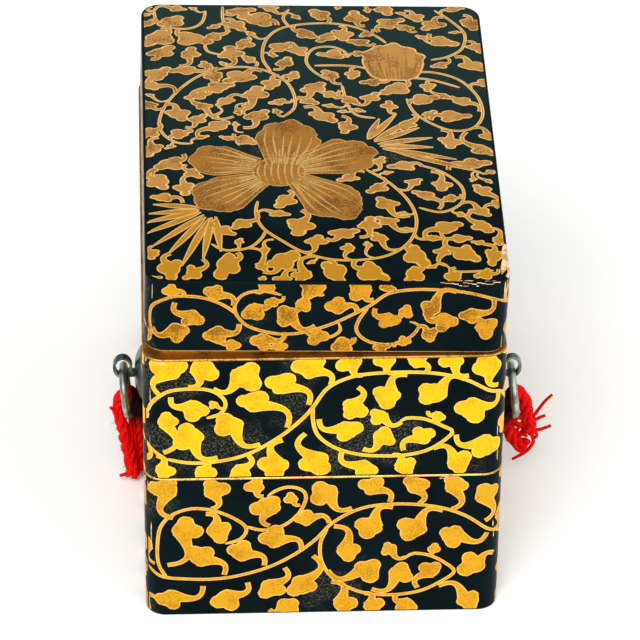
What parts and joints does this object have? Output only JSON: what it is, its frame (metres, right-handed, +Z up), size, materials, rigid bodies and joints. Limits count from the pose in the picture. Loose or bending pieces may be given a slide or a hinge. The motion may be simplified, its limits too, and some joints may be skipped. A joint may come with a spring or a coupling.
{
  "type": "stacked food box",
  "caption": "Small lacquered stacked food box: nesting trays under a lift-off lid, with painted gold scrolling vines and a hanging ring with a silk cord end on each side.",
  "frame": {"origin": "centre of the bottom tray's underside", "axes": "+Z up, the front shown in the picture faces -Y, +X is to the right of a person facing the front"},
  "size_m": [0.0986, 0.109, 0.0948],
  "materials": {
    "lacquer": "black lacquer, satin gloss",
    "pewter": "worn grey metal",
    "silk": "frayed plied silk"
  },
  "bodies": {
    "root": {"bottom_tier": "lacquer", "middle_tier": "lacquer", "lid": "lacquer", "rosette_left": "pewter", "eyelet_left": "pewter", "ring_left": "pewter", "rosette_right": "pewter", "eyelet_right": "pewter", "ring_right": "pewter", "silk_cord_left": "silk", "silk_cord_right": "silk"}
  },
  "joints": []
}
